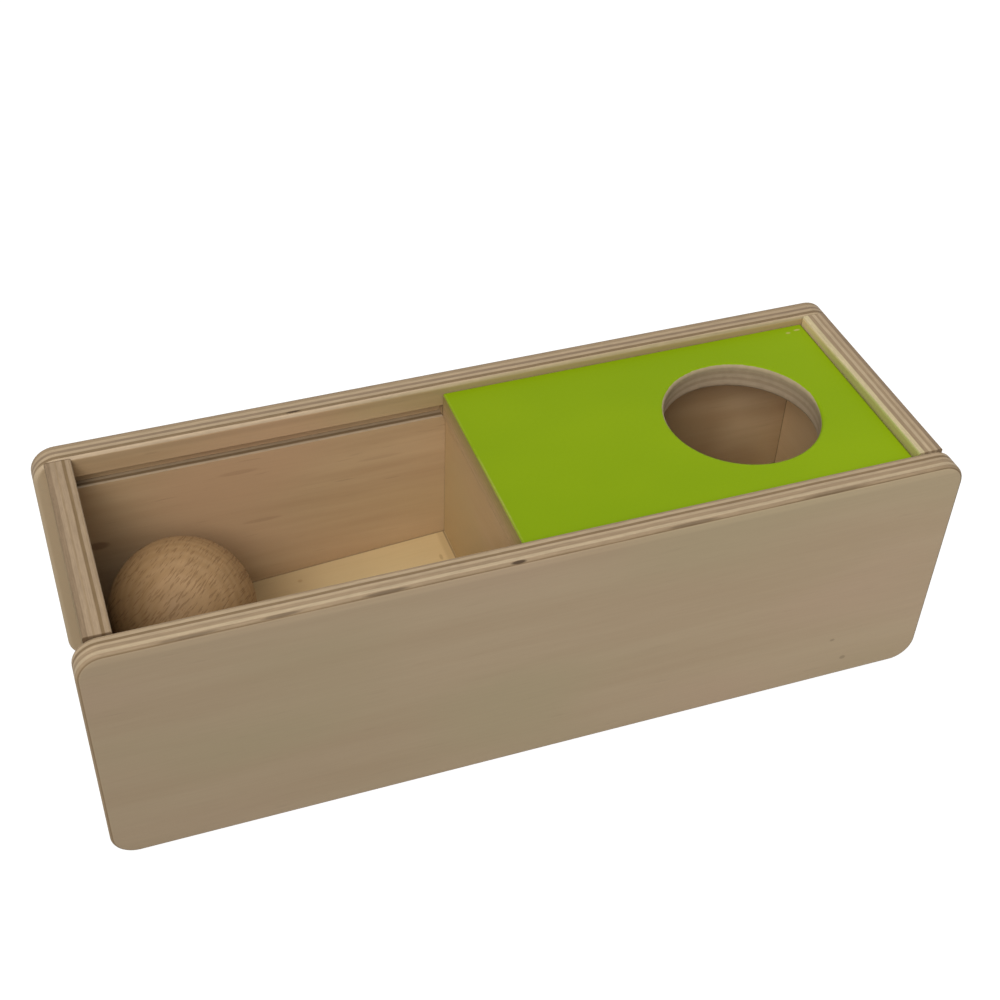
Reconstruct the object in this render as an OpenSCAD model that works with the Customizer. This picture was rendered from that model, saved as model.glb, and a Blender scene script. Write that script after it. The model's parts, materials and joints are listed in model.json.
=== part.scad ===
// Object permanence box: plywood box with two sloping compartments,
// a sliding lid with a round hole, and a loose wooden ball.
// Millimetres. The origin is the middle of the base, +X along the length, +Z up.

/* [Box] */
// Length of the two side panels
box_len = 300; // [260:1:360]
// Height of the box
box_h = 95; // [90:1:130]
// Clear width between the side panels
inner_w = 84; // [70:1:120]
// Thickness of the side panels, the end panels and the divider
ply = 9; // [8:0.5:14]
// How far the side panels stand past the end panels
overhang = 4.5; // [1:0.5:8]
// Corner radius of the side panels
corner_r = 9; // [4:0.5:14]
// Rounding along the edges of the side panels
edge_r = 1.5; // [0.4:0.1:2.5]
// Rounding along the top and bottom edges of the end panels and the divider
end_edge_r = 0.8; // [0.2:0.1:2]

/* [Lid groove] */
// Depth of the groove's upper edge below the top of the side panels
groove_drop = 8.3; // [6:0.1:12]
// Height of the groove
groove_h = 5.2; // [4:0.1:7]
// How deep the groove is cut into each side panel
groove_depth = 4; // [2:0.5:5]
// How far the groove runs on behind each end panel
groove_run_on = 2; // [0.5:0.5:5]
// Clearance around the lid and the ball where they run
run_gap = 0.3; // [0.2:0.05:0.6]

/* [Lid] */
// Thickness of the lid
lid_t = 10; // [7:0.5:11]
// How far the lid reaches past the divider
lid_lip = 1; // [0:0.1:3]
// Gap between the lid's top and each side panel
lid_side_gap = 0.4; // [0.3:0.1:1]
// Rounding of the lid's two end edges
lid_edge_r = 0.6; // [0.2:0.1:1.5]
// Diameter of the ball hole
hole_d = 55; // [40:0.5:60]
// Distance of the hole's centre from the right end panel
hole_inset = 45; // [36:0.5:70]
// Rounding of the hole's two rims
hole_edge_r = 1.5; // [0.3:0.1:2]

/* [Ramps] */
// Thickness of the ramp boards
ramp_t = 6; // [4:0.5:9]
// Slope of the ramps in degrees
ramp_angle = 4; // [2:0.25:5]
// Height of the left ramp's upper face at its low end
left_ramp_low = 16.2; // [12:0.1:20]
// Height of the right ramp's upper face at its low end
right_ramp_low = 14.2; // [12:0.1:20]
// How deep the ramps are let into each side panel
ramp_let = 3; // [1:0.5:4]

/* [Ball] */
// Diameter of the ball
ball_d = 51; // [38:0.5:52]
// Distance of the resting ball from the left end panel
ball_end_gap = 1.3; // [0.3:0.1:3]
// Distance of the resting ball from the rear panel
ball_rear_gap = 4.5; // [1:0.5:16]

/* [Dowels] */
// Diameter of the dowels
dowel_d = 6; // [4:0.5:7]
// Depth of the dowel holes in the side panels
dowel_side_depth = 6; // [4:0.5:7]
// Depth of the dowel holes in the end panels and the divider
dowel_board_depth = 18; // [10:1:25]

/* [Hidden] */
$fn = 96;
// Overrun of every cut past the face that it starts from
over = 1;
// Glue gaps around the ramps and the dowels
glue_gap = 0.1;
dowel_gap = 0.05;
// Heights of the dowels as shares of the box height
end_dowel_shares = [0.2, 0.48, 0.75];
divider_dowel_shares = [0.38, 0.68];

outer_w = inner_w + 2 * ply;
inner_y = inner_w / 2;
inner_x = box_len / 2 - overhang - ply;
end_x = inner_x + ply / 2;
divider_x = ply / 2;

groove_top = box_h - groove_drop;
groove_low = groove_top - groove_h;
groove_x = inner_x + groove_run_on;
lid_low = groove_low + run_gap;
lid_top = lid_low + lid_t;
tongue_top = groove_top - run_gap;
lid_left = -divider_x - lid_lip;
lid_right = inner_x - run_gap;
lid_top_y = inner_y - lid_side_gap;
tongue_y = inner_y + groove_depth - run_gap;
divider_h = groove_low;
hole_x = inner_x - hole_inset;

ramp_run = inner_x - divider_x;
ramp_rise = tan(ramp_angle);
ramp_drop = ramp_t / cos(ramp_angle);

ball_r = ball_d / 2;
ball_x = -inner_x + ball_end_gap + ball_r;
ball_y = inner_y - ball_rear_gap - ball_r;
ball_z = left_ramp_low + (ball_x + inner_x) * ramp_rise + (ball_r + run_gap) / cos(ramp_angle);

plywood = [0.80, 0.69, 0.53];
ramp_wood = [0.86, 0.74, 0.52];
lid_green = [0.58, 0.78, 0.05];
beech = [0.78, 0.58, 0.38];

// Half of a board's edge: reach is measured outwards, and the two outer corners are rounded
module edge_profile(reach, r) {
    square([reach - r, ply]);
    translate([0, r]) square([reach, ply - 2 * r]);
    for (y = [r, ply - r])
        translate([reach - r, y]) circle(r);
}

// Flat board with round corners and rounded edges, lying on z = 0 and centred in x and y
module rounded_board(len_x, len_y) {
    core = [len_x - 2 * corner_r, len_y - 2 * corner_r];
    translate([-core.x / 2, -core.y / 2, 0]) cube([core.x, core.y, ply]);
    for (i = [0 : 3])
        rotate([0, 0, 90 * i]) translate([core[i % 2] / 2, core[(i + 1) % 2] / 2, 0]) {
            rotate_extrude(angle = 90) edge_profile(corner_r, edge_r);
            rotate([90, 0, 0]) linear_extrude(core[(i + 1) % 2]) edge_profile(corner_r, edge_r);
        }
}

// Upright board across the box, centred on x, with rounded top and bottom edges
module cross_board(x, height) {
    translate([x + ply / 2, inner_y, height / 2]) rotate([90, -90, 0]) linear_extrude(inner_w) {
        edge_profile(height / 2, end_edge_r);
        mirror([1, 0]) edge_profile(height / 2, end_edge_r);
    }
}

// Side view of a ramp whose low end is at x and z, with a gap on all sides
module ramp_profile(x, z, gap) {
    low = x - gap;
    high = x + ramp_run + gap;
    z_low = z + (low - x) * ramp_rise;
    z_high = z + (high - x) * ramp_rise;
    polygon([[low, z_low + gap], [high, z_high + gap], [high, z_high - ramp_drop - gap], [low, z_low - ramp_drop - gap]]);
}

// Prism of a side view across the box, reaching y to both sides of the middle
module across(y) {
    translate([0, y, 0]) rotate([90, 0, 0]) linear_extrude(2 * y) children();
}

// Dowels, or the holes for them, on both sides of an upright board at x
module dowel_row(x, shares, gap) {
    for (share = shares, side = [-1, 1])
        translate([x, side * (inner_y + dowel_side_depth), share * box_h])
            rotate([side * 90, 0, 0])
                translate([0, 0, -gap])
                    cylinder(d = dowel_d + 2 * gap, h = dowel_side_depth + dowel_board_depth + 2 * gap);
}

module all_dowel_holes() {
    for (side = [-1, 1])
        dowel_row(side * end_x, end_dowel_shares, dowel_gap);
    dowel_row(0, divider_dowel_shares, dowel_gap);
}

module all_grooves() {
    translate([-groove_x, -inner_y - groove_depth, groove_low])
        cube([2 * groove_x, inner_w + 2 * groove_depth, groove_h]);
    for (start = [[-inner_x, left_ramp_low], [divider_x, right_ramp_low]])
        across(inner_y + ramp_let + glue_gap) ramp_profile(start.x, start.y, glue_gap);
}

module side_panel(back_y) {
    difference() {
        translate([0, back_y, box_h / 2]) rotate([90, 0, 0]) rounded_board(box_len, box_h);
        all_grooves();
        all_dowel_holes();
    }
}

module front_panel() {
    color(plywood) side_panel(-inner_y);
}

module rear_panel() {
    color(plywood) side_panel(inner_y + ply);
}

module end_panel(x) {
    difference() {
        cross_board(x, box_h);
        all_dowel_holes();
    }
}

module left_end_panel() {
    color(plywood) end_panel(-end_x);
}

module right_end_panel() {
    color(plywood) end_panel(end_x);
}

module divider() {
    color(plywood) difference() {
        cross_board(0, divider_h);
        all_dowel_holes();
    }
}

module left_ramp() {
    color(ramp_wood) across(inner_y + ramp_let) ramp_profile(-inner_x, left_ramp_low, 0);
}

module right_ramp() {
    color(ramp_wood) across(inner_y + ramp_let) ramp_profile(divider_x, right_ramp_low, 0);
}

// End view of the lid: a board with a tongue along each side
module lid_profile() {
    polygon([
        [-tongue_y, lid_low], [tongue_y, lid_low], [tongue_y, tongue_top], [lid_top_y, tongue_top],
        [lid_top_y, lid_top], [-lid_top_y, lid_top], [-lid_top_y, tongue_top], [-tongue_y, tongue_top]
    ]);
}

// What rounding takes off a square corner at the origin, with the wood at +x and -y
module corner_waste(r) {
    difference() {
        translate([-over, -r]) square([r + over, r + over]);
        translate([r, -r]) circle(r);
    }
}

module hole_waste() {
    hole_r = hole_d / 2;
    translate([0, 0, lid_low - over]) cylinder(r = hole_r, h = lid_t + 2 * over);
    for (rim = [[lid_top, 0], [lid_low, 1]])
        translate([0, 0, rim[0]]) mirror([0, 0, rim[1]]) rotate_extrude()
            translate([hole_r, 0]) corner_waste(hole_edge_r);
}

module sliding_lid() {
    color(lid_green) difference() {
        translate([lid_left, 0, 0]) rotate([90, 0, 90]) linear_extrude(lid_right - lid_left) lid_profile();
        translate([hole_x, 0, 0]) hole_waste();
        for (end = [[lid_left, 0], [lid_right, 1]])
            translate([end[0], 0, lid_top]) mirror([end[1], 0, 0]) across(outer_w) corner_waste(lid_edge_r);
    }
}

module ball() {
    color(beech) translate([ball_x, ball_y, ball_z]) sphere(r = ball_r);
}

module left_end_dowels() {
    color(beech) dowel_row(-end_x, end_dowel_shares, 0);
}

module right_end_dowels() {
    color(beech) dowel_row(end_x, end_dowel_shares, 0);
}

module divider_dowels() {
    color(beech) dowel_row(0, divider_dowel_shares, 0);
}

front_panel();
rear_panel();
left_end_panel();
right_end_panel();
divider();
left_ramp();
right_ramp();
sliding_lid();
ball();
left_end_dowels();
right_end_dowels();
divider_dowels();
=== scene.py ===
"""Looks of the object permanence box: plywood boards, a painted sliding lid and a beech ball."""

import json
import math
from collections import namedtuple

import bpy
from mathutils import Matrix, Vector


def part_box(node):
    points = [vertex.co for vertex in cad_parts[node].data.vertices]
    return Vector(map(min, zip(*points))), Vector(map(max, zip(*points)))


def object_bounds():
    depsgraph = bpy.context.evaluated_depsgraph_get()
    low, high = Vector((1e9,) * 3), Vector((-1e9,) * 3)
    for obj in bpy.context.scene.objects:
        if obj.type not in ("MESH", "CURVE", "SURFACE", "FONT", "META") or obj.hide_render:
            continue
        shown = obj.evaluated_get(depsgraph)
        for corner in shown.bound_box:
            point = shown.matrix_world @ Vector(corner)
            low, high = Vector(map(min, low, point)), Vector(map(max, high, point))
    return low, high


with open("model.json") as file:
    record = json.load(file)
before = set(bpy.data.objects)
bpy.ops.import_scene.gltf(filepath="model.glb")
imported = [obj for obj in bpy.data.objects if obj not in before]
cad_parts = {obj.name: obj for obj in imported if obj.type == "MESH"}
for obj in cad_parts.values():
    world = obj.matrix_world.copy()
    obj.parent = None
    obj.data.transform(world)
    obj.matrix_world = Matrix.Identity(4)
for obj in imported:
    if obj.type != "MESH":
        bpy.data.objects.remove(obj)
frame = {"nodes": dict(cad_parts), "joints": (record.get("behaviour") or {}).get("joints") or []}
cad_low, cad_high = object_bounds()

# Driving values: lengths in millimetres, while the frame's are in metres, and colours as 8-bit sRGB
MM = 0.001
X_AXIS = Vector((1, 0, 0))
Y_AXIS = Vector((0, 1, 0))
Z_AXIS = Vector((0, 0, 1))
BOX_AXES = (X_AXIS, Y_AXIS, Z_AXIS)

# Camera of the photograph: 36 mm sensor, square frame, shifted because the photograph is an off-centre cut
CAMERA_PLACE = (-146.9, -380.5, 435.7)
CAMERA_AIM = (5.0, 66.3, 0.0)
CAMERA_ROLL = 0.74
CAMERA_LENS = 56.84
CAMERA_SHIFT = (0.053, 0.033)
SENSOR = 36.0

# Stage: two softboxes in watts, even light from all round, and a white floor
Lamp = namedtuple("Lamp", "name place size power")
LAMPS = (
    Lamp("front_left_softbox", (-600.0, -900.0, 1100.0), 800.0, 13.5),
    Lamp("overhead_softbox", (0.0, 0.0, 1500.0), 1000.0, 6.0),
)
WORLD_LIGHT = 0.45
FLOOR_HALF = 6000.0
FLOOR_DROP = 0.2
FLOOR_BOUNCE = 0.4
FLOOR_SHADOW = 0.22
FLOOR_GLOW = 0.9

# Faces of veneers: two tones of the figure, and a warm and a cool tint
Wood = namedtuple("Wood", "light dark warm cool")
PALE_BIRCH = Wood((172, 152, 124), (167, 146, 118), (172, 149, 123), (166, 149, 119))
ROSY_BIRCH = Wood((196, 167, 129), (181, 151, 114), (193, 159, 123), (189, 162, 121))
HONEY_BIRCH = Wood((202, 172, 129), (196, 165, 121), (201, 167, 125), (197, 170, 123))
CREAM_BIRCH = Wood((226, 198, 154), (221, 191, 146), (225, 193, 150), (222, 196, 148))
POPLAR = Wood((188, 165, 122), (182, 158, 114), (185, 159, 118), (183, 163, 116))

# Edges of veneers, by how they take the light
CREAM = (190, 174, 136)
BRIGHT = (180, 158, 130)
PALE = (176, 156, 127)
LIGHT = (168, 147, 119)
SOFT = (157, 136, 111)
MID = (149, 128, 101)
DULL = (136, 116, 93)
DARK = (125, 104, 77)

# Veneers of each board as widths and tones, from the low side of its thickness
FRONT_PLIES = ((0.3, DARK), (1.0, MID), (1.3, PALE), (1.5, MID),
               (1.1, LIGHT), (1.1, DARK), (1.1, LIGHT), (1.6, MID))
REAR_PLIES = ((1.1, BRIGHT), (1.4, DARK), (1.3, LIGHT), (1.3, DULL),
              (1.3, LIGHT), (1.3, MID), (1.3, DULL))
LEFT_PLIES = ((1.9, DULL), (1.5, SOFT), (0.6, MID), (1.9, SOFT),
              (1.1, DARK), (1.1, SOFT), (0.3, MID), (0.6, SOFT))
RIGHT_PLIES = ((2.1, CREAM), (1.55, MID), (1.2, PALE), (1.15, MID), (1.05, LIGHT), (1.95, DULL))
DIVIDER_PLIES = ((1.3, LIGHT), (1.3, DARK), (1.3, LIGHT), (1.2, DARK),
                 (1.3, LIGHT), (1.3, DARK), (1.3, LIGHT))
LID_PLIES = ((2.4, (188, 159, 118)), (1.8, (182, 155, 112)), (1.8, (176, 152, 105)),
             (1.8, (168, 148, 97)), (2.2, (160, 145, 87)))
HOLE_PLIES = ((2.0, (158, 140, 118)), (1.5, (168, 150, 128)), (1.3, (152, 134, 112)),
              (1.5, (167, 149, 127)), (1.2, (153, 135, 113)), (2.5, (162, 145, 121)))
RAMP_PLIES = ((1.2, LIGHT), (1.2, DARK), (1.2, LIGHT), (1.2, DARK), (1.2, LIGHT))

# How far the veneers' course waves, and how soft their borders are
PLY_WAVE = 0.5
PLY_SOFT = 0.15

# Seams: painted gap shade, dark lines where boards meet, how far it reaches to either side, and how far it is
# full
GAP_SHADE_COLOUR = (84, 62, 40)
SEAM_REACH = 0.5
SEAM_CORE = 0.1
GAP_SHADE_STRENGTH = 0.6
LID_GAP_SHADE_STRENGTH = 0.5

# Look of a board: drift is how much lighter it gets towards its far end, as painted light, flecks how dark
# its short streaks are, the top's painted highlight how much paler its face is along the top, or darker if
# below 0, and sheen its specular level
Look = namedtuple("Look", "wood plies drift flecks sanded sheen seed")
FRONT_LOOK = Look(PALE_BIRCH, FRONT_PLIES, 0.28, 0.05, 0.1, 0.15, 11.0)
REAR_LOOK = Look(ROSY_BIRCH, REAR_PLIES, 0.3, 0.12, -0.1, 0.15, 28.0)
LEFT_LOOK = Look(PALE_BIRCH, LEFT_PLIES, 0.0, 0.08, 0.0, 0.0, 61.0)
RIGHT_LOOK = Look(CREAM_BIRCH, RIGHT_PLIES, 0.0, 0.08, 0.0, 0.15, 78.0)
DIVIDER_LOOK = Look(HONEY_BIRCH, DIVIDER_PLIES, 0.0, 0.08, 0.0, 0.15, 95.0)
LID_LOOK = Look(HONEY_BIRCH, LID_PLIES, 0.12, 0.05, 0.0, 0.06, 211.0)
# The left ramp's strong drift is painted shade, darker towards the ball and the left end panel
LEFT_RAMP_LOOK = Look(POPLAR, RAMP_PLIES, 0.66, 0.05, 0.0, 0.15, 131.0)
RIGHT_RAMP_LOOK = Look(POPLAR, RAMP_PLIES, 0.0, 0.05, 0.0, 0.15, 150.0)

# Strip of painted highlight along the top of a board's face: how far below the top it starts and is full
TOP_LIGHT_START = 4.4
TOP_LIGHT_FULL = 2.8

# Lid's hole: its centre from the right end, the reach of its rim, where on the way to the rear the rim's wear
# starts and is full, and how strongly the hole's own plies show
HOLE_INSET = 44.7
RIM_REACH = 29.6
RIM_WEAR = (-12.0, 4.0)
HOLE_PLY_STRENGTH = 0.8

# Paint: two tones, how deep it goes down and fades, and how far a surface has to face up to be painted
PAINT = ((124, 151, 7), (130, 156, 8))
PAINT_DEPTH = 1.7
PAINT_FADE = 0.2
PAINT_FACING = 0.3
WORN_RIM_FACING = 0.82
FACING_SWING = 0.2
FACING_FADE = 0.04

# Rub at the lid's free end: its reach along the lid, where across the lid it gets stronger, and strengths
RUB_REACH = (1.0, 0.3)
RUB_ACROSS = (60.0, 30.0)
RUB_STRENGTHS = (0.15, 0.5)

# Single marks: place in the box, half sizes, colour and strength; MARK_CORE is the share with full strength
Mark = namedtuple("Mark", "centre half colour strength")
MARK_CORE = 0.5
# Painted shade standing in for small voids in the veneers at the top edges
VOID_SHADE = (62, 46, 32)
KNOT = (92, 50, 30)
SMUDGE = (128, 112, 88)
RESIN = (140, 104, 62)
PAINTED_BALL_SHADOW = (122, 94, 60)
LID_GREEN_TINT = (112, 112, 34)
PAINTED_SHADE_UNDER_LID = (132, 92, 48)
FRONT_MARKS = (
    Mark((-10.8, -50.4, 94.8), (3.2, 0.7, 1.0), VOID_SHADE, 0.9),
    Mark((-54.0, -50.4, 94.6), (9.0, 0.6, 1.2), VOID_SHADE, 0.55),
    Mark((-87.0, -50.3, 94.6), (8.0, 0.6, 1.2), VOID_SHADE, 0.5),
    Mark((49.0, -50.4, 94.6), (12.0, 0.6, 1.2), VOID_SHADE, 0.45),
    Mark((-116.0, -50.4, 94.6), (12.0, 0.6, 1.2), VOID_SHADE, 0.4),
    Mark((100.0, -50.4, 94.6), (16.0, 0.6, 1.2), VOID_SHADE, 0.35),
    Mark((113.2, -51.0, 20.0), (1.2, 1.0, 0.8), SMUDGE, 0.5),
    Mark((119.5, -51.0, 8.9), (1.5, 1.0, 1.2), SMUDGE, 0.5),
)
REAR_MARKS = (
    Mark((-150.0, 42.0, 45.0), (9.0, 3.0, 90.0), PALE, 0.9),
    Mark((-59.5, 43.9, 94.9), (3.4, 0.6, 1.0), VOID_SHADE, 0.9),
    Mark((-133.0, 42.0, 53.7), (5.0, 1.0, 2.2), KNOT, 0.4),
    Mark((-81.0, 42.0, 74.4), (9.0, 1.0, 1.2), KNOT, 0.15),
    Mark((-74.2, 42.0, 50.1), (9.0, 1.0, 1.1), KNOT, 0.15),
    Mark((-29.2, 42.0, 68.4), (10.0, 1.0, 1.0), KNOT, 0.1),
    # Green tint along the rear panel's inner face just above the lid
    Mark((66.0, 42.0, 91.0), (140.0, 1.5, 12.0), LID_GREEN_TINT, 0.3),
    # Two marks of painted shade on the rear wall inside the compartment under the lid
    Mark((88.0, 42.0, 50.0), (30.0, 2.0, 45.0), PAINTED_SHADE_UNDER_LID, 0.34),
    Mark((114.0, 42.0, 26.0), (22.0, 2.0, 14.0), PAINTED_SHADE_UNDER_LID, 0.2),
)
RIGHT_MARKS = (
    # Green tint on the right end panel's inner face just above the lid
    Mark((136.5, -25.0, 92.8), (1.0, 75.0, 3.4), PAINT[0], 0.55),
    # Dark line of painted shade in the right end panel's rear corner
    Mark((136.5, 42.0, 45.0), (0.7, 0.7, 90.0), GAP_SHADE_COLOUR, 0.6),
)
RAMP_MARKS = (
    # Painted shadow of the ball on the left ramp where the ball lies
    Mark((-105.0, 10.0, 20.0), (60.0, 80.0, 12.0), PAINTED_BALL_SHADOW, 0.4),
    Mark((-63.1, 36.0, 21.3), (1.2, 1.0, 1.0), RESIN, 0.35),
    Mark((-10.0, 28.7, 25.0), (0.8, 2.0, 1.0), RESIN, 0.35),
    Mark((-6.2, 0.0, 25.3), (2.6, 80.0, 2.0), RESIN, 0.22),
)

# Chips in the lid's paint: marks without a colour, because bare wood shows in them
CHIPS = (
    Mark((128.9, 38.0, 91.8), (1.2, 0.7, 1.0), None, 0.4),
    Mark((132.9, 38.8, 91.8), (1.6, 0.6, 1.0), None, 0.5),
)

# Beech: tones of the growth rings, its sheen, the rings' width and bend, and the flecks of the rays
BEECH = ((154, 123, 86), (148, 117, 80))
BEECH_SHEEN = 0.2
RING_WIDTH = 2.6
RING_BEND = 6.0
RAY_COLOUR = (106, 76, 49)
RAY_STRENGTH = 0.44

# Way the ball lies: its rays point at the onlooker, and its grain runs up to the right
BALL_RAY = (-0.07, -0.71, 0.7)
BALL_ACROSS = (0.64, -0.57, -0.51)

# Seeds of the ball and of the first dowels, which shift their grain
BALL_SEED = 5.0
DOWEL_SEED = 23.0

# Textures: noise with features per millimetre along three axes, its detail and roughness, and its offset
Texture = namedtuple("Texture", "scales detail roughness offset", defaults=((0.0, 0.0, 0.0),))
FIGURE = Texture((0.006, 0.08, 0.0), 3.0, 0.6)
TINT = Texture((0.008, 0.016, 0.0), 1.0, 0.5, (0.0, 7.0, 0.0))
FIBRE = Texture((0.05, 1.2, 1.2), 3.0, 0.6, (0.0, 3.0, 0.0))
FLECK = Texture((0.06, 0.7, 0.7), 1.0, 0.5, (0.0, 9.0, 4.0))
PLY_COURSE = Texture((0.03, 0.03, 0.0), 3.0, 0.6, (0.0, 5.0, 0.0))
PLY_STREAK = Texture((0.05, 0.05, 2.4), 3.0, 0.6, (0.0, 1.0, 0.0))
PLY_SPECK = Texture((0.3, 0.3, 1.5), 2.0, 0.6, (0.0, 2.0, 0.0))
RAGGED = Texture((0.4, 0.4, 0.4), 3.0, 0.6)
PAINT_RUB = Texture((0.0, 0.06, 0.0), 3.0, 0.6, (4.0, 8.0, 0.0))
PAINT_CLOUD = Texture((0.012, 0.02, 0.0), 2.0, 0.5)
PAINT_PEEL = Texture((0.8, 0.8, 0.0), 2.0, 0.5)
BEECH_BEND = Texture((0.02, 0.05, 0.05), 2.0, 0.5)
BEECH_STREAK = Texture((0.1, 0.1, 1.0), 3.0, 0.6, (0.0, 1.0, 0.0))
BEECH_RAY = Texture((0.32, 0.06, 2.1), 1.0, 0.4, (0.0, 6.0, 3.0))

# Levels of a pattern between which it fades in
FIGURE_LEVELS = (0.3, 0.7)
WARM_LEVELS = (0.5, 0.7)
COOL_LEVELS = (0.5, 0.3)
FLECK_LEVELS = (0.68, 0.8)
RUB_LEVELS = (0.2, 0.8)
CLOUD_LEVELS = (0.3, 0.7)
RING_LEVELS = (0.1, 0.9)
RAY_LEVELS = (0.54, 0.68)

# How far a texture swings the brightness
FIBRE_SHADE = 0.1
STREAK_SHADE = 0.5
SPECK_SHADE = 0.35
RAGGED_SHADE = 0.4
PEEL_SHADE = 0.05
BEECH_SHADE = 0.4

# Surfaces: roughness as swing and middle, depth of the relief, and shares of it that flecks and peel take
FACE_ROUGHNESS = (0.1, 0.52)
EDGE_ROUGHNESS = (0.1, 0.6)
PAINT_ROUGHNESS = (0.06, 0.45)
BEECH_ROUGHNESS = (0.12, 0.56)
BOARD_RELIEF = 0.05
BEECH_RELIEF = 0.06
FLECK_RELIEF = 0.5
PEEL_RELIEF = 0.6

# How squarely a surface has to face along a board's thickness to count as its face
FACE_FACING = (0.9, 0.97)


def linear(colour):
    """8-bit sRGB as a linear colour with full alpha."""
    values = [c / 255 for c in colour]
    return [v / 12.92 if v <= 0.04045 else ((v + 0.055) / 1.055) ** 2.4 for v in values] + [1.0]


def grey(level):
    """Linear grey with full alpha."""
    return (level, level, level, 1.0)


class Graph:
    """Node tree of one material. Most methods add nodes and return an output socket."""

    def __init__(self, name):
        self.material = bpy.data.materials.new(name)
        self.material.use_nodes = True
        self.tree = self.material.node_tree
        self.tree.nodes.clear()

    def add(self, kind, inputs=None, output=0, **settings):
        """One node: inputs are sockets to link or values to set, and settings its properties."""
        node = self.tree.nodes.new(kind)
        for key, value in settings.items():
            setattr(node, key, value)
        for key, value in (inputs or {}).items():
            if isinstance(value, bpy.types.NodeSocket):
                self.tree.links.new(value, node.inputs[key])
            else:
                node.inputs[key].default_value = value
        return node.outputs[output]

    def math(self, operation, *values):
        """Result of an operation on numbers."""
        return self.add("ShaderNodeMath", dict(enumerate(values)), operation=operation)

    def vector(self, operation, *vectors, output="Vector"):
        """Result of an operation on vectors; the output is Value where that is a number."""
        return self.add("ShaderNodeVectorMath", dict(enumerate(vectors)), output, operation=operation)

    def dot(self, a, b):
        """Dot product of two vectors."""
        return self.vector("DOT_PRODUCT", a, b, output="Value")

    def length(self, vector):
        """Length of a vector."""
        return self.vector("LENGTH", vector, output="Value")

    def combine(self, x, y, z):
        """Vector of three parts."""
        return self.add("ShaderNodeCombineXYZ", {0: x, 1: y, 2: z})

    def split(self, vector):
        """The three parts of a vector."""
        return list(self.add("ShaderNodeSeparateXYZ", {0: vector}).node.outputs)

    def choose(self, factor, a, b):
        """Number between a and b, which are sockets 2 and 3 of the node."""
        return self.add("ShaderNodeMix", {0: factor, 2: a, 3: b}, 0, data_type="FLOAT")

    def paint(self, factor, a, b, blend="MIX"):
        """Colour between a and b, which are sockets 6 and 7 of the node, and its output 2."""
        return self.add("ShaderNodeMix", {0: factor, 6: a, 7: b}, 2, data_type="RGBA", blend_type=blend)

    def shaded(self, colour, shade):
        """Colour times a number."""
        return self.paint(1.0, colour, self.combine(shade, shade, shade), "MULTIPLY")

    def smooth(self, value, low, high):
        """0 at low, 1 at high, smooth between; low may lie above high."""
        return self.add(
            "ShaderNodeMapRange",
            {0: value, 1: low, 2: high, 3: 0.0, 4: 1.0},
            interpolation_type="SMOOTHSTEP",
        )

    def swing(self, value, reach, middle=1.0):
        """Noise from 0 to 1 as a number about a middle."""
        return self.math("MULTIPLY_ADD", self.math("SUBTRACT", value, 0.5), reach, middle)

    def noise(self, place, texture, seed=0.0):
        """Noise from 0 to 1 over a place in millimetres, moved along by a seed."""
        offset = Vector(texture.offset) + seed * X_AXIS
        scaled = self.vector("MULTIPLY_ADD", place, texture.scales, offset)
        return self.add(
            "ShaderNodeTexNoise",
            {"Vector": scaled, "Scale": 1.0, "Detail": texture.detail, "Roughness": texture.roughness},
        )

    def bands(self, share, bands):
        """Colour of the band that a share of the whole width falls in, with soft borders."""
        node = self.add("ShaderNodeValToRGB", {0: share}).node
        stops = node.color_ramp.elements
        total = sum(width for width, colour in bands)
        start = 0.0
        for width, colour in bands:
            soft = min(PLY_SOFT, width / 3)
            stops.new((start + soft) / total).color = linear(colour)
            stops.new((start + width - soft) / total).color = linear(colour)
            start += width
        stops[0].color = stops[1].color
        stops[-1].color = stops[-2].color
        return node.outputs[0]

    def place(self, origin, axes):
        """Position on the piece in millimetres along three axes, from an origin in metres."""
        point = self.add("ShaderNodeTexCoord").node.outputs["Object"]
        shifted = self.vector("SUBTRACT", point, origin)
        return self.combine(*[self.dot(shifted, axis / MM) for axis in axes])

    def facing(self, axis):
        """How far the surface faces along an axis, from -1 to 1."""
        normal = self.add("ShaderNodeTexCoord").node.outputs["Normal"]
        return self.dot(normal, axis)

    def spot(self, place, mark):
        """Strength of a mark: full in the core of an ellipsoid, fading to 0 at its skin."""
        away = self.vector("DIVIDE", self.vector("SUBTRACT", place, mark.centre), mark.half)
        return self.math("MULTIPLY", self.smooth(self.length(away), 1.0, MARK_CORE), mark.strength)

    def marked(self, colour, marks):
        """Colour with marks on it."""
        place = self.place(Vector(), BOX_AXES)
        for mark in marks:
            colour = self.paint(self.spot(place, mark), colour, linear(mark.colour))
        return colour

    def surface(self, coat, relief, sheen):
        """Material of a coat, with relief of a depth in millimetres."""
        bump = self.add("ShaderNodeBump", {"Strength": 1.0, "Distance": relief * MM, "Height": coat.height})
        inputs = {
            "Base Color": coat.colour,
            "Roughness": coat.roughness,
            "Normal": bump,
            "Specular IOR Level": sheen,
        }
        return self.finish(self.add("ShaderNodeBsdfPrincipled", inputs))

    def finish(self, shader):
        """Material that shows a shader."""
        output = self.tree.nodes.new("ShaderNodeOutputMaterial")
        self.tree.links.new(shader, output.inputs["Surface"])
        return self.material


# Board: lowest corner in metres, axes along and across its face and through it, sizes along them, and seams.
# A seam is the number of an axis and how far inside the board's end on that axis the neighbour's face lies.
# Along the seams runs painted gap shade, dark lines of shade where boards meet
Board = namedtuple("Board", "origin axes sizes seams")
END_SEAMS = ((0, 0.0),)

# Coat of a surface: sockets for its colour, the height of its relief and its roughness
Coat = namedtuple("Coat", "colour height roughness")


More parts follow.
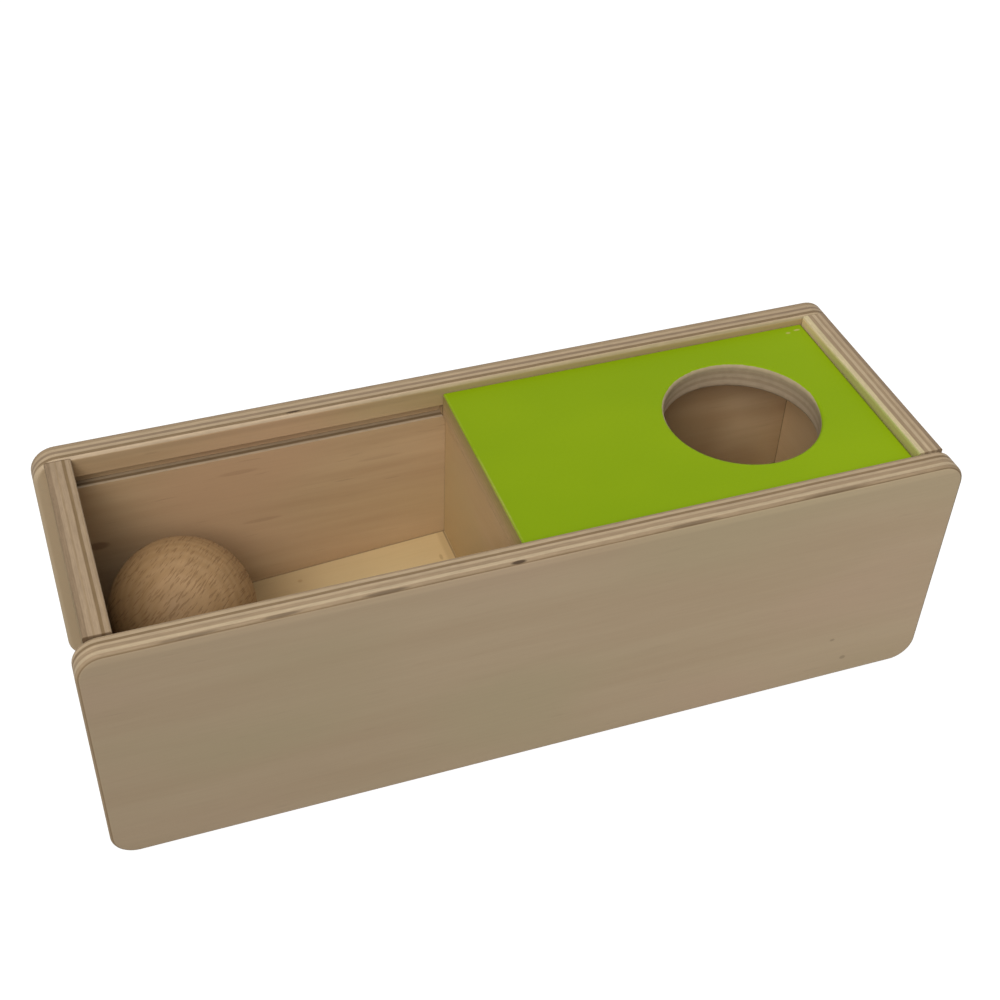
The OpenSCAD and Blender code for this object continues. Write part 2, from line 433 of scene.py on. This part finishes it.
def face_coat(graph, place, board, look):
    """Face of a board: figure, tints, fibres, short dark flecks along the grain, and painted light along its
    top.
    """
    figure = graph.noise(place, FIGURE, look.seed)
    tint = graph.noise(place, TINT, look.seed)
    fibre = graph.noise(place, FIBRE, look.seed)
    fleck = graph.smooth(graph.noise(place, FLECK, look.seed), *FLECK_LEVELS)
    wood = look.wood
    colour = graph.paint(graph.smooth(figure, *FIGURE_LEVELS), linear(wood.dark), linear(wood.light))
    colour = graph.paint(graph.smooth(tint, *WARM_LEVELS), colour, linear(wood.warm))
    colour = graph.paint(graph.smooth(tint, *COOL_LEVELS), colour, linear(wood.cool))
    across = graph.split(place)[1]
    top = board.sizes[1]
    # Painted highlight along the top of the face, darker where the look's value is below 0
    sanded = graph.smooth(across, top - TOP_LIGHT_START, top - TOP_LIGHT_FULL)
    shade = graph.math("MULTIPLY_ADD", sanded, look.sanded, graph.swing(fibre, FIBRE_SHADE))
    shade = graph.math("SUBTRACT", shade, graph.math("MULTIPLY", fleck, look.flecks))
    height = graph.math("SUBTRACT", fibre, graph.math("MULTIPLY", fleck, FLECK_RELIEF))
    return Coat(graph.shaded(colour, shade), height, graph.swing(fibre, *FACE_ROUGHNESS))


def ply_level(graph, place, board, wave):
    """Share of a board's thickness that a point lies at, made wavy by noise."""
    depth = graph.math("ADD", graph.split(place)[2], graph.swing(wave, PLY_WAVE, 0.0))
    return graph.math("DIVIDE", depth, board.sizes[2])


def edge_coat(graph, place, board, look):
    """Edges of a board: its veneers with a wavy course, streaks along them and blotches."""
    level = ply_level(graph, place, board, graph.noise(place, PLY_COURSE, look.seed))
    streak = graph.noise(place, PLY_STREAK, look.seed)
    speck = graph.noise(place, PLY_SPECK, look.seed)
    shade = graph.math("MULTIPLY", graph.swing(streak, STREAK_SHADE), graph.swing(speck, SPECK_SHADE))
    colour = graph.shaded(graph.bands(level, look.plies), shade)
    return Coat(colour, speck, graph.swing(speck, *EDGE_ROUGHNESS))


def gap_shade_mask(graph, place, board):
    """1 on the dark lines of painted gap shade where a board meets its neighbours."""
    parts = graph.split(place)
    mask = 0.0
    for axis, inside in board.seams:
        from_end = graph.math("PINGPONG", parts[axis], board.sizes[axis] / 2)
        away = graph.math("ABSOLUTE", graph.math("SUBTRACT", from_end, inside))
        mask = graph.math("MAXIMUM", mask, graph.smooth(away, SEAM_REACH, SEAM_CORE))
    return mask


def drift_shade(graph, place, board, look):
    """Painted light that gets lighter along a board and is 1 in its middle."""
    along = graph.split(place)[0]
    return graph.math("MULTIPLY_ADD", along, look.drift / board.sizes[0], 1.0 - look.drift / 2)


def veneer_coat(graph, board, look):
    """Coat of a board of veneers: its faces, its edges and the painted gap shade at its seams."""
    place = graph.place(board.origin, board.axes)
    face = face_coat(graph, place, board, look)
    edge = edge_coat(graph, place, board, look)
    on_face = graph.smooth(graph.math("ABSOLUTE", graph.facing(board.axes[2])), *FACE_FACING)
    face_colour = graph.shaded(face.colour, drift_shade(graph, place, board, look))
    colour = graph.paint(on_face, edge.colour, face_colour)
    if board.seams:
        gap_shade = graph.math("MULTIPLY", gap_shade_mask(graph, place, board), GAP_SHADE_STRENGTH)
        colour = graph.paint(gap_shade, colour, linear(GAP_SHADE_COLOUR))
    height = graph.choose(on_face, edge.height, face.height)
    return Coat(colour, height, graph.choose(on_face, edge.roughness, face.roughness))


def plywood(name, board, look, marks=()):
    """Bare plywood with single marks."""
    graph = Graph(name)
    coat = veneer_coat(graph, board, look)
    coat = coat._replace(colour=graph.marked(coat.colour, marks))
    return graph.surface(coat, BOARD_RELIEF, look.sheen)


def hole_masks(graph, place, board):
    """1 round the lid's hole, and 1 on the rear part of that, where the rim's paint is worn off."""
    hole = (board.sizes[0] - HOLE_INSET, board.sizes[1] / 2, 0.0)
    flat = graph.vector("MULTIPLY", graph.vector("SUBTRACT", place, hole), (1.0, 1.0, 0.0))
    near = graph.smooth(graph.length(flat), RIM_REACH + PAINT_FADE, RIM_REACH)
    rear = graph.smooth(graph.split(flat)[1], *RIM_WEAR)
    return near, graph.math("MULTIPLY", near, rear)


def paint_cover(graph, place, board, worn_rim, ragged):
    """1 where paint covers the lid: what faces up near its top, less the rub at its free end and chips."""
    along, across, depth = graph.split(place)
    needed = graph.swing(ragged, FACING_SWING, graph.choose(worn_rim, PAINT_FACING, WORN_RIM_FACING))
    cover = graph.smooth(graph.math("SUBTRACT", graph.facing(Z_AXIS), needed), 0.0, FACING_FADE)
    lowest = board.sizes[2] - PAINT_DEPTH
    cover = graph.math("MULTIPLY", cover, graph.smooth(depth, lowest - PAINT_FADE, lowest))
    rub = graph.smooth(graph.noise(place, PAINT_RUB), *RUB_LEVELS)
    rub = graph.math("MULTIPLY", rub, graph.smooth(along, *RUB_REACH))
    rub = graph.math("MULTIPLY", rub, graph.choose(graph.smooth(across, *RUB_ACROSS), *RUB_STRENGTHS))
    cover = graph.math("SUBTRACT", cover, rub)
    box_place = graph.place(Vector(), BOX_AXES)
    for chip in CHIPS:
        cover = graph.math("SUBTRACT", cover, graph.spot(box_place, chip))
    return graph.math("MAXIMUM", cover, 0.0)


def painted_plywood(name, board, look):
    """Plywood with a green top, bare veneers round the hole, and painted gap shade along its sides and far
    end.
    """
    graph = Graph(name)
    bare = veneer_coat(graph, board, look)
    place = graph.place(board.origin, board.axes)
    near_hole, worn_rim = hole_masks(graph, place, board)
    ragged = graph.noise(place, RAGGED)
    cover = paint_cover(graph, place, board, worn_rim, ragged)

    cloud = graph.smooth(graph.noise(place, PAINT_CLOUD), *CLOUD_LEVELS)
    peel = graph.noise(place, PAINT_PEEL)
    green = graph.paint(cloud, linear(PAINT[0]), linear(PAINT[1]))
    drift = drift_shade(graph, place, board, look)
    green = graph.shaded(green, graph.math("MULTIPLY", graph.swing(peel, PEEL_SHADE), drift))
    hole_plies = graph.bands(ply_level(graph, place, board, ragged), HOLE_PLIES)
    hole_plies = graph.shaded(hole_plies, graph.swing(ragged, RAGGED_SHADE))
    wood = graph.paint(graph.math("MULTIPLY", near_hole, HOLE_PLY_STRENGTH), bare.colour, hole_plies)
    colour = graph.paint(cover, wood, green)

    # Painted gap shade at the lid's far end and along its sides
    end = board.sizes[0] - SEAM_REACH
    gap_shade = graph.smooth(graph.split(place)[0], end - SEAM_REACH, end)
    gap_shade = graph.math("MAXIMUM", gap_shade, gap_shade_mask(graph, place, board))
    colour = graph.paint(graph.math("MULTIPLY", gap_shade, LID_GAP_SHADE_STRENGTH), colour, linear(GAP_SHADE_COLOUR))
    height = graph.choose(cover, bare.height, graph.math("MULTIPLY", peel, PEEL_RELIEF))
    roughness = graph.choose(cover, bare.roughness, graph.swing(peel, *PAINT_ROUGHNESS))
    return graph.surface(Coat(colour, height, roughness), BOARD_RELIEF, look.sheen)


def turned_beech(name, centre, grain, ray, size, seed):
    """Beech with soft growth rings, streaks, and the flecks of its rays, which are thin across the grain."""
    graph = Graph(name)
    place = graph.place(centre, (grain, ray, grain.cross(ray)))
    outward, sideways = graph.split(place)[1:]
    from_pith = graph.length(graph.combine(0.0, graph.math("ADD", outward, size), sideways))
    reach = graph.math("MULTIPLY_ADD", graph.noise(place, BEECH_BEND, seed), RING_BEND, from_pith)
    ring = graph.math("DIVIDE", graph.math("PINGPONG", reach, RING_WIDTH / 2), RING_WIDTH / 2)
    streak = graph.noise(place, BEECH_STREAK, seed)
    fleck = graph.smooth(graph.noise(place, BEECH_RAY, seed), *RAY_LEVELS)
    colour = graph.paint(graph.smooth(ring, *RING_LEVELS), linear(BEECH[0]), linear(BEECH[1]))
    colour = graph.shaded(colour, graph.swing(streak, BEECH_SHADE))
    colour = graph.paint(graph.math("MULTIPLY", fleck, RAY_STRENGTH), colour, linear(RAY_COLOUR))
    height = graph.math("SUBTRACT", streak, fleck)
    coat = Coat(colour, height, graph.swing(fleck, *BEECH_ROUGHNESS))
    return graph.surface(coat, BEECH_RELIEF, BEECH_SHEEN)


def dress(node, material):
    """Puts one material on a CAD node."""
    mesh = frame["nodes"][node].data
    mesh.materials.clear()
    mesh.materials.append(material)


def board_of(node, along, across, depth, seams=()):
    """Board that fills the box of a CAD node."""
    low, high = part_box(node)
    axes = (along, across, depth)
    return Board(low, axes, [(high - low).dot(axis) / MM for axis in axes], seams)


def dress_boards():
    """Side panels lie along the box, and the end panels and the divider across it."""
    side_panels = (
        ("front_panel", FRONT_LOOK, FRONT_MARKS),
        ("rear_panel", REAR_LOOK, REAR_MARKS),
    )
    for node, look, marks in side_panels:
        board = board_of(node, X_AXIS, Z_AXIS, Y_AXIS)
        dress(node, plywood(node + "_birch", board, look, marks))
    cross_boards = (
        ("left_end_panel", LEFT_LOOK, (), END_SEAMS),
        ("right_end_panel", RIGHT_LOOK, RIGHT_MARKS, ()),
        ("divider", DIVIDER_LOOK, (), END_SEAMS),
    )
    for node, look, marks, seams in cross_boards:
        board = board_of(node, Y_AXIS, Z_AXIS, X_AXIS, seams)
        dress(node, plywood(node + "_birch", board, look, marks))


def dress_ramps():
    """Ramps lie along the ball's way, let into the side panels by what they are wider than the divider."""
    roll = next(j for j in frame["joints"] if j["name"] == "ball_roll")
    along = Vector(roll["axis"]).normalized()
    depth = along.cross(Y_AXIS)
    inside_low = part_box("divider")[0].y
    ramps = (
        ("left_ramp", LEFT_RAMP_LOOK, RAMP_MARKS),
        ("right_ramp", RIGHT_RAMP_LOOK, ()),
    )
    for node, look, marks in ramps:
        low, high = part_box(node)
        rise = (high.x - low.x) * along.z / along.x
        sizes = [(high.x - low.x) / along.x, high.y - low.y, (high.z - low.z - rise) * along.x]
        seams = END_SEAMS + ((1, (inside_low - low.y) / MM),)
        board = Board(low, (along, Y_AXIS, depth), [size / MM for size in sizes], seams)
        dress(node, plywood(node + "_poplar", board, look, marks))


def dress_lid():
    """Lid runs in the side panels, let in by what it is wider than the divider."""
    let_in = (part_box("divider")[0].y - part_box("sliding_lid")[0].y) / MM
    board = board_of("sliding_lid", X_AXIS, Y_AXIS, Z_AXIS, ((1, let_in),))
    dress("sliding_lid", painted_plywood("lid_green_birch", board, LID_LOOK))


def dress_beech():
    """Ball with its grain as in the photograph, and dowels with theirs along their length."""
    low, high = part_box("ball")
    ray = Vector(BALL_RAY).normalized()
    grain = ray.cross(Vector(BALL_ACROSS)).normalized()
    size = (high.x - low.x) / MM
    dress("ball", turned_beech("ball_beech", (low + high) / 2, grain, ray, size, BALL_SEED))
    for number, node in enumerate(("left_end_dowels", "right_end_dowels", "divider_dowels")):
        low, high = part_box(node)
        size = (high.x - low.x) / MM
        material = turned_beech(node + "_beech", (low + high) / 2, Y_AXIS, Z_AXIS, size, DOWEL_SEED + number)
        dress(node, material)


def camera_rays(tree):
    """1 for rays that show the background: from the camera, off gloss and through glass."""
    path = tree.nodes.new("ShaderNodeLightPath").outputs
    total = path["Is Camera Ray"]
    for other in ("Is Glossy Ray", "Is Transmission Ray"):
        joined = tree.nodes.new("ShaderNodeMath")
        joined.operation = "MAXIMUM"
        tree.links.new(total, joined.inputs[0])
        tree.links.new(path[other], joined.inputs[1])
        total = joined.outputs[0]
    return total


def make_floor():
    """White floor that takes a light shadow."""
    half = FLOOR_HALF * MM
    mesh = bpy.data.meshes.new("floor")
    corners = [(-half, -half, 0), (half, -half, 0), (half, half, 0), (-half, half, 0)]
    mesh.from_pydata(corners, [], [(0, 1, 2, 3)])
    floor = bpy.data.objects.new("floor", mesh)
    floor.location.z = cad_low.z - FLOOR_DROP * MM
    bpy.context.scene.collection.objects.link(floor)
    graph = Graph("floor_white")
    bounce = graph.add("ShaderNodeBsdfDiffuse", {"Color": grey(FLOOR_BOUNCE)})
    shown = graph.add("ShaderNodeBsdfDiffuse", {"Color": grey(FLOOR_SHADOW)})
    glow = graph.add("ShaderNodeEmission", {"Color": grey(1.0), "Strength": FLOOR_GLOW})
    seen = graph.add("ShaderNodeAddShader", {0: shown, 1: glow})
    mixed = graph.add("ShaderNodeMixShader", {0: camera_rays(graph.tree), 1: bounce, 2: seen})
    mesh.materials.append(graph.finish(mixed))


def make_world():
    """Even light from all round, shown as white."""
    world = bpy.data.worlds.new("studio")
    world.use_nodes = True
    tree = world.node_tree
    tree.nodes.clear()
    light = tree.nodes.new("ShaderNodeBackground")
    light.inputs["Strength"].default_value = WORLD_LIGHT
    white = tree.nodes.new("ShaderNodeBackground")
    for background in (light, white):
        background.inputs["Color"].default_value = grey(1.0)
    mixed = tree.nodes.new("ShaderNodeMixShader")
    tree.links.new(camera_rays(tree), mixed.inputs[0])
    tree.links.new(light.outputs[0], mixed.inputs[1])
    tree.links.new(white.outputs[0], mixed.inputs[2])
    output = tree.nodes.new("ShaderNodeOutputWorld")
    tree.links.new(mixed.outputs[0], output.inputs[0])
    bpy.context.scene.world = world


def make_lamps():
    """Softboxes that point at the box."""
    for lamp in LAMPS:
        light = bpy.data.lights.new(lamp.name, "AREA")
        light.shape = "SQUARE"
        light.size = lamp.size * MM
        light.energy = lamp.power
        holder = bpy.data.objects.new(lamp.name, light)
        holder.location = Vector(lamp.place) * MM
        holder.rotation_euler = (-holder.location).to_track_quat("-Z", "Y").to_euler()
        bpy.context.scene.collection.objects.link(holder)


def make_camera():
    """Camera at the photograph's place, rolled about its line of sight."""
    data = bpy.data.cameras.new("photo_camera")
    data.sensor_width = SENSOR
    data.lens = CAMERA_LENS
    data.shift_x, data.shift_y = CAMERA_SHIFT
    camera = bpy.data.objects.new("photo_camera", data)
    place = Vector(CAMERA_PLACE) * MM
    toward = (Vector(CAMERA_AIM) * MM - place).normalized()
    level = toward.to_track_quat("-Z", "Y").to_matrix().to_4x4()
    roll = Matrix.Rotation(math.radians(CAMERA_ROLL), 4, "Z")
    camera.matrix_world = Matrix.Translation(place) @ level @ roll
    bpy.context.scene.collection.objects.link(camera)
    bpy.context.scene.camera = camera


dress_boards()
dress_ramps()
dress_lid()
dress_beech()
make_floor()
make_world()
make_lamps()
make_camera()
bpy.context.scene.view_settings.view_transform = "Standard"
